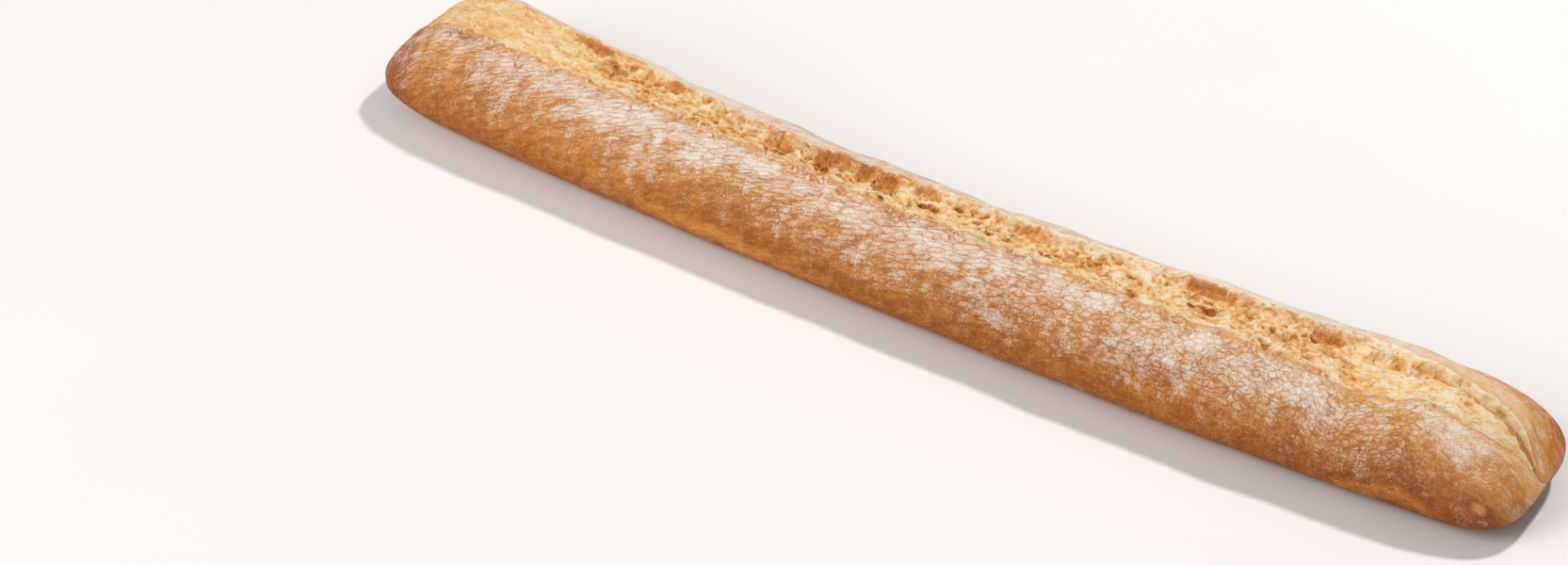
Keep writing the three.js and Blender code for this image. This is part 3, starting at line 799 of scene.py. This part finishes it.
def torn_crumb(material):
    """Open bubbles of three sizes with thin walls between them, where the crumb has torn."""
    tree, given = modifier_tree("torn crumb", ["Bubble Size", "Bubble Depth", "Shred Height", "Seed"])
    wrap = put(tree, "GeometryNodeInputNamedAttribute", {"Name": "wrap"}, data_type="FLOAT_VECTOR")
    torn = put(tree, "GeometryNodeInputNamedAttribute", {"Name": "torn"}, data_type="FLOAT")
    large = put(tree, "GeometryNodeInputNamedAttribute", {"Name": "hollow"}, data_type="FLOAT")
    scaled = put(tree, "ShaderNodeVectorMath", {0: wrap, 1: given["Bubble Size"]}, operation="DIVIDE")
    wander = put(tree, "ShaderNodeTexNoise", {
        "Vector": scaled, "W": given["Seed"], "Scale": 0.9, "Detail": 3.0,
    }, out="Color", noise_dimensions="4D")
    swirl = put(tree, "ShaderNodeVectorMath", {0: wander, 1: (0.5, 0.5, 0.5)}, operation="SUBTRACT")
    swirled = put(tree, "ShaderNodeVectorMath", {0: swirl, "Scale": 1.2}, operation="SCALE")
    stretched = put(tree, "ShaderNodeVectorMath", {0: scaled, 1: (0.62, 1, 0.8)}, operation="MULTIPLY")
    bent = put(tree, "ShaderNodeVectorMath", {0: stretched, 1: swirled}, operation="ADD")
    # Each size of bubble, as (how many times finer than the largest, share of the depth)
    total = None
    for scale, share in ((1.0, 0.9), (2.1, 0.75), (4.3, 0.45)):
        place = {"Vector": bent, "W": given["Seed"], "Scale": scale}
        wall = put(tree, "ShaderNodeTexVoronoi", place, out="Distance", voronoi_dimensions="4D",
                   feature="DISTANCE_TO_EDGE")
        chance = put(tree, "ShaderNodeTexVoronoi", place, out="Color", voronoi_dimensions="4D")
        one = put(tree, "ShaderNodeSeparateXYZ", {0: chance})
        keen = put(tree, "ShaderNodeMath", {0: one, 1: 1.3}, operation="POWER")
        cup = put(tree, "ShaderNodeMapRange", {"Value": wall, "From Min": 0.02, "From Max": 0.26})
        round_ = put(tree, "ShaderNodeMath", {0: cup, 1: 0.7}, operation="POWER")
        pit = put(tree, "ShaderNodeMath", {0: round_, 1: keen}, operation="MULTIPLY")
        sized = put(tree, "ShaderNodeMath", {0: pit, 1: share}, operation="MULTIPLY")
        total = sized if total is None else put(tree, "ShaderNodeMath", {0: total, 1: sized}, operation="ADD")
    calm = put(tree, "ShaderNodeMapRange", {
        "Value": large, "From Min": 0.1, "From Max": 0.6, "To Min": 1.0, "To Max": 0.75})
    amount = put(tree, "ShaderNodeMath", {0: torn, 1: calm}, operation="MULTIPLY")
    masked = put(tree, "ShaderNodeMath", {0: total, 1: amount}, operation="MULTIPLY")
    depth = put(tree, "ShaderNodeMath", {0: masked, 1: given["Bubble Depth"]}, operation="MULTIPLY")
    shreds = put(tree, "ShaderNodeTexNoise", {
        "Vector": bent, "W": given["Seed"], "Scale": 3.0, "Detail": 3.0,
    }, noise_dimensions="4D")
    rough = put(tree, "ShaderNodeMath", {0: shreds, 1: 0.5}, operation="SUBTRACT")
    some = put(tree, "ShaderNodeMath", {0: torn, 1: 0.22}, operation="ADD")
    shred = put(tree, "ShaderNodeMath", {0: rough, 1: given["Shred Height"]}, operation="MULTIPLY")
    shredded = put(tree, "ShaderNodeMath", {0: shred, 1: some}, operation="MULTIPLY")
    sunk = put(tree, "ShaderNodeMath", {0: shredded, 1: depth}, operation="SUBTRACT")
    normal = put(tree, "GeometryNodeInputNormal")
    offset = put(tree, "ShaderNodeVectorMath", {0: normal, "Scale": sunk}, operation="SCALE")
    moved = put(tree, "GeometryNodeSetPosition", {"Geometry": given["Geometry"], "Offset": offset})
    kept = put(tree, "GeometryNodeStoreNamedAttribute", {
        "Geometry": moved, "Name": "pit", "Value": masked,
    }, data_type="FLOAT", domain="POINT")
    finish_tree(tree, kept, material)
    return tree


def loose_flakes(material):
    """Flakes of thin baked skin, scattered along the torn near lip and lying flat on the crust."""
    tree, given = modifier_tree("loose flakes", ["Flake Size", "Flakes Per Area", "Seed"])
    flaked = put(tree, "GeometryNodeInputNamedAttribute", {"Name": "flaked"}, data_type="FLOAT")
    density = put(tree, "ShaderNodeMath", {0: flaked, 1: given["Flakes Per Area"]}, operation="MULTIPLY")
    whole = put(tree, "FunctionNodeFloatToInt", {0: given["Seed"]})
    spread = put(tree, "GeometryNodeDistributePointsOnFaces", {
        "Mesh": given["Geometry"], "Density": density, "Seed": whole}).node
    # Any way round, and tipped a little off the crust
    least_turn, most_turn = (-0.2, -0.2, 0.0), (0.2, 0.2, 6.28)
    turn = put(tree, "FunctionNodeRandomValue", {
        0: least_turn, 1: most_turn, "Seed": whole,
    }, data_type="FLOAT_VECTOR")
    turned = put(tree, "FunctionNodeEulerToRotation", {0: turn})
    lies = put(tree, "FunctionNodeRotateRotation", {
        0: spread.outputs["Rotation"], 1: turned,
    }, rotation_space="LOCAL")
    # Length, width and thickness, as shares of the flake size
    smallest, largest = (0.35, 0.3, 0.06), (1.4, 0.8, 0.16)
    extent = put(tree, "FunctionNodeRandomValue", {
        0: smallest, 1: largest, "Seed": whole,
    }, data_type="FLOAT_VECTOR")
    sized = put(tree, "ShaderNodeVectorMath", {0: extent, "Scale": given["Flake Size"]}, operation="SCALE")
    flake = put(tree, "GeometryNodeMeshIcoSphere", {"Radius": 0.5, "Subdivisions": 2})
    placed = put(tree, "GeometryNodeInstanceOnPoints", {
        "Points": spread.outputs["Points"], "Instance": flake, "Rotation": lies, "Scale": sized})
    tone = put(tree, "FunctionNodeRandomValue", {"Seed": whole}, out=1, data_type="FLOAT")
    toned = put(tree, "GeometryNodeStoreNamedAttribute", {
        "Geometry": placed, "Name": "tone", "Value": tone,
    }, data_type="FLOAT", domain="INSTANCE")
    finish_tree(tree, toned, material)
    return tree


def linear(hex_colour):
    """An sRGB hex colour as linear values with full alpha."""
    parts = [int(hex_colour[i:i + 2], 16) / 255 for i in (1, 3, 5)]
    return tuple(p / 12.92 if p <= 0.04045 else ((p + 0.055) / 1.055) ** 2.4 for p in parts) + (1.0,)


def new_material(name, **sockets):
    """A material with a Principled shader whose even values are set on its own sockets."""
    material = bpy.data.materials.new(name)
    material.use_nodes = True
    tree = material.node_tree
    shader = tree.nodes["Principled BSDF"]
    for title, value in sockets.items():
        shader.inputs[title.replace("_", " ")].default_value = value
    return material, tree, shader


# Sizes of the crust's patterns
BAKING_PATCH = 12
SKIN_ISLAND = 2.3
ISLAND_WANDER = 4
CRACK_STRAY = 3.2
BLISTER_SPACING = 1.7
BLISTER_WANDER = 1.3
BLISTER_STRAY = 1.8
FLOUR_CLUMP = 4.5
FLOUR_GRAIN = 0.9
FLOUR_RIDGE = 2.4
SKIN_FLECK = 3
SKIN_BUMP = 0.5


def baked_crust():
    """Baked wheat crust: matt orange-brown skin, wrinkled, with white flour caught on its high places."""
    material, tree, shader = new_material("baked crust", Specular_IOR_Level=0.2)
    wrap, flow = [put(tree, "ShaderNodeAttribute", attribute_name=n, out="Vector") for n in ("wrap", "flow")]
    flour, dust, bake_and_shade, crease, lip, wrinkled, flaked, toasted = [
        put(tree, "ShaderNodeAttribute", attribute_name=n, out="Fac")
        for n in ("flour", "dust", "bake_and_shade", "crease", "lip", "skin", "flaked", "browned")
    ]
    # Cracks between the dried islands of the skin
    wander = put(tree, "ShaderNodeTexNoise", {
        "Vector": flow, "Scale": 1 / (ISLAND_WANDER * MM), "Detail": 3.0}, out="Color")
    astray = put(tree, "ShaderNodeVectorMath", {0: wander, "Scale": CRACK_STRAY * MM}, operation="SCALE")
    widened = put(tree, "ShaderNodeVectorMath", {0: flow, 1: (1.25, 1, 1)}, operation="MULTIPLY")
    led = put(tree, "ShaderNodeVectorMath", {0: widened, 1: astray}, operation="ADD")
    islands = {"Vector": led, "Scale": 1 / (SKIN_ISLAND * MM)}
    edge = put(tree, "ShaderNodeTexVoronoi", islands, feature="DISTANCE_TO_EDGE")
    gap = put(tree, "ShaderNodeMapRange", {
        "Value": edge, "From Min": 0.0, "From Max": 0.18, "To Min": 1.0, "To Max": 0.0,
    }, interpolation_type="SMOOTHSTEP")
    crack = put(tree, "ShaderNodeMath", {0: gap, 1: wrinkled}, operation="MULTIPLY")
    lots = put(tree, "ShaderNodeTexVoronoi", islands, out="Color")
    lot = put(tree, "ShaderNodeSeparateXYZ", {0: lots})
    island_lift = put(tree, "ShaderNodeMath", {0: lot, 1: wrinkled}, operation="MULTIPLY")
    # Baking, uneven in patches the size of a coin, with painted shade that darkens the creases and cracks
    mottle = put(tree, "ShaderNodeTexNoise", {
        "Vector": wrap, "Scale": 1 / (BAKING_PATCH * MM), "Detail": 5.0, "Roughness": 0.6})
    darkness = bake_and_shade
    # Painted shade: the creases and cracks are darkened on top of the baking
    for source, share in ((mottle, 0.36), (crease, 0.16), (crack, 0.17)):
        darkness = put(tree, "ShaderNodeMath", {0: source, 1: share, 2: darkness}, operation="MULTIPLY_ADD")
    baked_and_shaded = put(tree, "ShaderNodeMapRange", {"Value": darkness, "From Min": 0.25, "From Max": 1.3})
    skin = put(tree, "ShaderNodeValToRGB", {0: baked_and_shaded}, stops=[
        (0.0, "#EEBB7C"), (1.0, "#8A4616"), (0.24, "#DF9E52"), (0.48, "#CD8030"), (0.72, "#A85E1A")])
    # Pinhead blisters and specks of flour between them, both paler than the skin
    fuzz = put(tree, "ShaderNodeTexNoise", {
        "Vector": wrap, "Scale": 1 / (BLISTER_WANDER * MM), "Detail": 2.0}, out="Color")
    off = put(tree, "ShaderNodeVectorMath", {0: fuzz, "Scale": BLISTER_STRAY * MM}, operation="SCALE")
    loose = put(tree, "ShaderNodeVectorMath", {0: wrap, 1: off}, operation="ADD")
    blisters = {"Vector": loose, "Scale": 1 / (BLISTER_SPACING * MM)}
    from_blister = put(tree, "ShaderNodeTexVoronoi", blisters)
    chance = put(tree, "ShaderNodeTexVoronoi", blisters, out="Color")
    luck = put(tree, "ShaderNodeSeparateXYZ", {0: chance})
    radius = put(tree, "ShaderNodeMath", {0: luck, 1: 0.5, 2: 0.05}, operation="MULTIPLY_ADD")
    roundel = put(tree, "ShaderNodeMath", {0: radius, 1: from_blister}, operation="SUBTRACT")
    dot = put(tree, "ShaderNodeMapRange", {
        "Value": roundel, "From Min": -0.2, "From Max": 0.25, "To Max": 0.36})
    fallen = put(tree, "ShaderNodeVectorMath", {0: wrap, 1: (1, 0.4, 1)}, operation="MULTIPLY")
    clump = put(tree, "ShaderNodeTexNoise", {
        "Vector": fallen, "Scale": 1 / (FLOUR_CLUMP * MM), "Detail": 3.0})
    grain = put(tree, "ShaderNodeTexNoise", {
        "Vector": wrap, "Scale": 1 / (FLOUR_GRAIN * MM), "Detail": 2.0})
    clustered = put(tree, "ShaderNodeMath", {0: clump, 1: 0.7, 2: grain}, operation="MULTIPLY_ADD")
    speck = put(tree, "ShaderNodeMapRange", {
        "Value": clustered, "From Min": 0.88, "From Max": 1.08, "To Max": 0.7})
    pale = put(tree, "ShaderNodeMath", {0: dot, 1: speck}, operation="MAXIMUM")
    sparse = put(tree, "ShaderNodeMath", {0: pale, 1: wrinkled}, operation="MULTIPLY")
    speckled = put(tree, "ShaderNodeMix", {
        0: sparse, 6: skin, 7: linear("#EDC396")}, out=2, data_type="RGBA")
    # Flour: thick where it was dusted, broken up by the wrinkles, and only in grains lower down
    ridges = put(tree, "ShaderNodeTexNoise", {
        "Vector": flow, "Scale": 1 / (FLOUR_RIDGE * MM), "Detail": 4.0, "Roughness": 0.6, "Distortion": 0.6})
    caught = flour
    for source, share in (
        (ridges, 0.9), (clump, 1.0), (grain, 1.3), (crease, -0.28), (crack, -0.3), (island_lift, 0.22),
    ):
        caught = put(tree, "ShaderNodeMath", {0: source, 1: share, 2: caught}, operation="MULTIPLY_ADD")
    dusty = put(tree, "ShaderNodeMapRange", {
        "Value": caught, "From Min": 1.56, "From Max": 2.54, "To Max": 0.95})
    veiled = put(tree, "ShaderNodeMix", {
        0: dust, 6: speckled, 7: linear("#EFDFD4")}, out=2, data_type="RGBA")
    whitened = put(tree, "ShaderNodeMix", {
        0: dusty, 6: veiled, 7: linear("#F6E8DA")}, out=2, data_type="RGBA")
    # The torn edge: thin skin that baked reddish brown, in flecks
    flecks = put(tree, "ShaderNodeTexNoise", {
        "Vector": wrap, "Scale": 1 / (SKIN_FLECK * MM), "Detail": 4.0, "Roughness": 0.65})
    torn = put(tree, "ShaderNodeMath", {0: flecks, 1: 2.2, 2: lip}, operation="MULTIPLY_ADD")
    edged = put(tree, "ShaderNodeMapRange", {
        "Value": torn, "From Min": 1.5, "From Max": 2.2, "To Max": 0.9})
    stains = put(tree, "ShaderNodeMath", {0: flaked, 1: toasted}, operation="ADD")
    stained = put(tree, "ShaderNodeMath", {0: flecks, 1: 1.6, 2: stains}, operation="MULTIPLY_ADD")
    scorch = put(tree, "ShaderNodeMapRange", {
        "Value": stained, "From Min": 1.08, "From Max": 1.7, "To Max": 0.7})
    lipped = put(tree, "ShaderNodeMix", {
        0: edged, 6: whitened, 7: linear("#DDA066")}, out=2, data_type="RGBA")
    colour = put(tree, "ShaderNodeMix", {
        0: scorch, 6: lipped, 7: linear("#BE7E54")}, out=2, data_type="RGBA")
    tree.links.new(colour, shader.inputs["Base Color"])
    rough = put(tree, "ShaderNodeMapRange", {"Value": dusty, "To Min": 0.6, "To Max": 0.95})
    tree.links.new(rough, shader.inputs["Roughness"])
    height = grain
    for source, share in ((ridges, 2.2), (crack, -0.5), (island_lift, 0.5), (dusty, 0.3)):
        height = put(tree, "ShaderNodeMath", {0: source, 1: share, 2: height}, operation="MULTIPLY_ADD")
    bump = put(tree, "ShaderNodeBump", {"Height": height, "Strength": 1.0, "Distance": SKIN_BUMP * MM})
    tree.links.new(bump, shader.inputs["Normal"])
    return material


# Sizes of the crumb's patterns
CRUMB_PATCH = 6
CRUMB_GRAIN = 1
WEB_WANDER = 3
WEB_STRAY = 3.5
OPEN_CELL = 2.7
STRAND = 2
PORE_SPACING = 4.2
TOASTED_SPOT = 2.8
CRUMB_BUMP = 0.5


def open_crumb():
    """Baked white crumb: pale cream walls, with painted shade that turns the bubbles golden, and toasted
    along the far lip, partly as painted shade.
    """
    material, tree, shader = new_material("open crumb", Roughness=0.8, Subsurface_Weight=0.1,
                                          Subsurface_Radius=(1.0, 0.55, 0.25), Subsurface_Scale=1.2 * MM)
    wrap = put(tree, "ShaderNodeAttribute", attribute_name="wrap", out="Vector")
    hollow, pit, toast_and_shade, golden, torn = [
        put(tree, "ShaderNodeAttribute", attribute_name=n, out="Fac")
        for n in ("hollow", "pit", "toast_and_shade", "golden", "torn")
    ]
    drawn = put(tree, "ShaderNodeVectorMath", {0: wrap, 1: (0.55, 1, 1)}, operation="MULTIPLY")
    patch = put(tree, "ShaderNodeTexNoise", {
        "Vector": drawn, "Scale": 1 / (CRUMB_PATCH * MM), "Detail": 5.0, "Roughness": 0.65,
        "Distortion": 0.6})
    fine = put(tree, "ShaderNodeTexNoise", {
        "Vector": drawn, "Scale": 1 / (CRUMB_GRAIN * MM), "Detail": 3.0})
    # Webs between the smallest open cells
    stray = put(tree, "ShaderNodeTexNoise", {
        "Vector": wrap, "Scale": 1 / (WEB_WANDER * MM), "Detail": 3.0}, out="Color")
    strayed = put(tree, "ShaderNodeVectorMath", {0: stray, "Scale": WEB_STRAY * MM}, operation="SCALE")
    celled = put(tree, "ShaderNodeVectorMath", {0: drawn, 1: strayed}, operation="ADD")
    cell = put(tree, "ShaderNodeTexVoronoi", {
        "Vector": celled, "Scale": 1 / (OPEN_CELL * MM)}, feature="DISTANCE_TO_EDGE")
    inside = put(tree, "ShaderNodeMapRange", {"Value": cell, "From Min": 0.03, "From Max": 0.3})
    hole = put(tree, "ShaderNodeMath", {0: inside, 1: torn}, operation="MULTIPLY")
    # The smooth crumb at the two ends was drawn out along the loaf as it tore
    pulled = put(tree, "ShaderNodeVectorMath", {0: wrap, 1: (0.42, 1, 1)}, operation="MULTIPLY")
    strands = put(tree, "ShaderNodeTexNoise", {
        "Vector": pulled, "Scale": 1 / (STRAND * MM), "Detail": 5.0, "Roughness": 0.6, "Distortion": 1.0})
    streak = put(tree, "ShaderNodeMapRange", {
        "Value": strands, "From Min": 0.35, "From Max": 0.75, "To Min": 0.5, "To Max": 1.6})
    drawn_out = put(tree, "ShaderNodeMath", {0: streak, 1: golden}, operation="MULTIPLY")
    # Painted shade: the crumb's patchy tone is darkened and turned golden in the large hollows, the torn pits
    # and the small open cells
    depth = drawn_out
    for source, share in ((hollow, 0.55), (pit, 1.5), (patch, 1.7), (fine, 0.8), (hole, 0.4)):
        depth = put(tree, "ShaderNodeMath", {0: source, 1: share, 2: depth}, operation="MULTIPLY_ADD")
    deep = put(tree, "ShaderNodeMapRange", {"Value": depth, "From Min": 1.45, "From Max": 3.0})
    crumb_tone_and_shade = put(tree, "ShaderNodeValToRGB", {0: deep}, stops=[
        (0.0, "#F8E6C8"), (1.0, "#B8702C"), (0.3, "#F4D09A"), (0.6, "#E9B064")])
    # Open pores as small as a pinhead, drawn as dark spots of painted shade
    pores = put(tree, "ShaderNodeTexVoronoi", {
        "Vector": wrap, "Scale": 1 / (PORE_SPACING * MM), "Randomness": 1.0})
    pore = put(tree, "ShaderNodeMapRange", {
        "Value": pores, "From Min": 0.06, "From Max": 0.13, "To Min": 0.6, "To Max": 0.0})
    pore_shaded = put(tree, "ShaderNodeMix", {0: pore, 6: crumb_tone_and_shade, 7: linear("#B0743C")}, out=2, data_type="RGBA")
    # Toasted spots, most of them along the far lip, with the painted shade of the slope up to the far lip and
    # of the large cavities' far walls
    spots = put(tree, "ShaderNodeTexNoise", {
        "Vector": drawn, "Scale": 1 / (TOASTED_SPOT * MM), "Detail": 4.0, "Roughness": 0.65,
        "Distortion": 0.8})
    browned = put(tree, "ShaderNodeMath", {0: spots, 1: 3.0, 2: toast_and_shade}, operation="MULTIPLY_ADD")
    brown = put(tree, "ShaderNodeMapRange", {
        "Value": browned, "From Min": 1.7, "From Max": 2.4, "To Max": 0.9})
    strength = put(tree, "ShaderNodeMapRange", {"Value": browned, "From Min": 1.8, "From Max": 3.1})
    toasted = put(tree, "ShaderNodeValToRGB", {0: strength}, stops=[
        (0.0, "#E8A85C"), (1.0, "#AA5E20"), (0.45, "#DA8A3A")])
    colour = put(tree, "ShaderNodeMix", {0: brown, 6: pore_shaded, 7: toasted}, out=2, data_type="RGBA")
    tree.links.new(colour, shader.inputs["Base Color"])
    height = fine
    for source, share in ((pore, -1.5), (drawn_out, -0.6), (hole, -0.45), (patch, 2.5)):
        height = put(tree, "ShaderNodeMath", {0: source, 1: share, 2: height}, operation="MULTIPLY_ADD")
    bump = put(tree, "ShaderNodeBump", {"Height": height, "Strength": 1.0, "Distance": CRUMB_BUMP * MM})
    tree.links.new(bump, shader.inputs["Normal"])
    return material


FLAKE_MOTTLE = 0.8


def flaked_skin():
    """Thin flakes of baked skin: reddish brown where they scorched, pale where flour clings to them."""
    material, tree, shader = new_material("flaked skin", Roughness=0.8, Specular_IOR_Level=0.3)
    tone = put(tree, "ShaderNodeAttribute", attribute_name="tone", out="Fac")
    place = put(tree, "ShaderNodeTexCoord", out="Object")
    mottle = put(tree, "ShaderNodeTexNoise", {
        "Vector": place, "Scale": 1 / (FLAKE_MOTTLE * MM), "Detail": 2.0})
    pale = put(tree, "ShaderNodeMath", {0: tone, 1: 0.75}, operation="MULTIPLY")
    mixed = put(tree, "ShaderNodeMath", {0: mottle, 1: 0.5, 2: pale}, operation="MULTIPLY_ADD")
    colour = put(tree, "ShaderNodeValToRGB", {0: mixed}, stops=[
        (0.3, "#C28158"), (1.0, "#EAD3BC"), (0.55, "#D59C70"), (0.8, "#E6BE96")])
    tree.links.new(colour, shader.inputs["Base Color"])
    return material


# The floor's half width and the size of its mottle, in metres
FLOOR_HALF = 6
FLOOR_MOTTLE = 1 / 6


def pale_floor():
    """Matt white painted board: an even pale ground with a faint mottle."""
    material, tree, shader = new_material("white board", Roughness=0.9)
    place = put(tree, "ShaderNodeTexCoord", out="Object")
    mottle = put(tree, "ShaderNodeTexNoise", {"Vector": place, "Scale": 1 / FLOOR_MOTTLE, "Detail": 2.0})
    tone = put(tree, "ShaderNodeMix", {
        0: mottle, 6: linear("#F8F4F2"), 7: linear("#F5F0EE")}, out=2, data_type="RGBA")
    tree.links.new(tone, shader.inputs["Base Color"])
    mesh = bpy.data.meshes.new("floor")
    corners = [(x * FLOOR_HALF, y * FLOOR_HALF, 0) for x, y in ((-1, -1), (1, -1), (1, 1), (-1, 1))]
    mesh.from_pydata(corners, [], [(0, 1, 2, 3)])
    mesh.materials.append(material)
    floor = bpy.data.objects.new("floor", mesh)
    bpy.context.scene.collection.objects.link(floor)
    return floor


def area_light(name, place, aim, size, power):
    """A square soft light at a place, turned to a point: places and size in metres, power in watts."""
    lamp = bpy.data.lights.new(name, "AREA")
    lamp.size = size
    lamp.energy = power
    light = bpy.data.objects.new(name, lamp)
    light.location = place
    light.rotation_euler = (Vector(place) - Vector(aim)).to_track_quat("Z", "Y").to_euler()
    bpy.context.scene.collection.objects.link(light)


def studio_light():
    """A small key light high behind the loaf, a wide soft one in front of it, and a white room."""
    world = bpy.data.worlds.new("white room")
    world.use_nodes = True
    sky = world.node_tree.nodes["Background"]
    sky.inputs["Color"].default_value = linear("#FFFFFF")
    sky.inputs["Strength"].default_value = 0.32
    bpy.context.scene.world = world
    area_light("key", place=(0.433, 1.002, 1.741), aim=(0, 0, 0), size=0.17, power=22)
    area_light("fill", place=(-0.9, -1.5, 1.15), aim=(0, 0, 0), size=1.5, power=27)


def photo_camera():
    """The camera at the photograph's viewing angle."""
    a, e = math.radians(VIEW_AZIMUTH), math.radians(VIEW_ELEVATION)
    back = Vector((math.sin(a) * math.cos(e), -math.cos(a) * math.cos(e), math.sin(e)))
    right = Vector((math.cos(a), math.sin(a), 0))
    up = back.cross(right)
    data = bpy.data.cameras.new("camera")
    data.lens = VIEW_LENS
    data.sensor_width = SENSOR_WIDTH
    data.clip_end = 50
    camera = bpy.data.objects.new("camera", data)
    turned = Matrix((right, up, back)).transposed().to_4x4()
    place = (Vector(VIEW_TARGET) + back * VIEW_DISTANCE) * MM
    camera.matrix_world = Matrix.Translation(place) @ turned
    bpy.context.scene.collection.objects.link(camera)
    bpy.context.scene.camera = camera


photo_camera()
studio_light()
pale_floor()

crust_material = baked_crust()
crumb_material = open_crumb()

crust = grow(crust_body(), crust_relief(crust_material), {
    "Wrinkle Spacing": 3 * MM, "Wrinkle Depth": 0.32 * MM, "Blister Size": 2.4 * MM,
    "Blister Height": 0.12 * MM, "Seed": 3.0,
})
crumb = grow(crumb_body(), torn_crumb(crumb_material), {
    "Bubble Size": 5.5 * MM, "Bubble Depth": 1.6 * MM, "Shred Height": 1.5 * MM, "Seed": 5.0,
})

# The flakes are scattered over a copy of the grown crust, where its "flaked" attribute says they lie
flakes = bpy.data.objects.new("lip_flakes", crust.data.copy())
bpy.context.scene.collection.objects.link(flakes)
flakes = grow(flakes, loose_flakes(flaked_skin()), {
    "Flake Size": 2.6 * MM, "Flakes Per Area": 600000.0, "Seed": 8.0,
})

for piece, slot in ((crust, "crust"), (crumb, "crumb"), (flakes, "crust")):
    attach(piece, "root")
    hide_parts("baguette")

bpy.context.scene.view_settings.view_transform = "Standard"
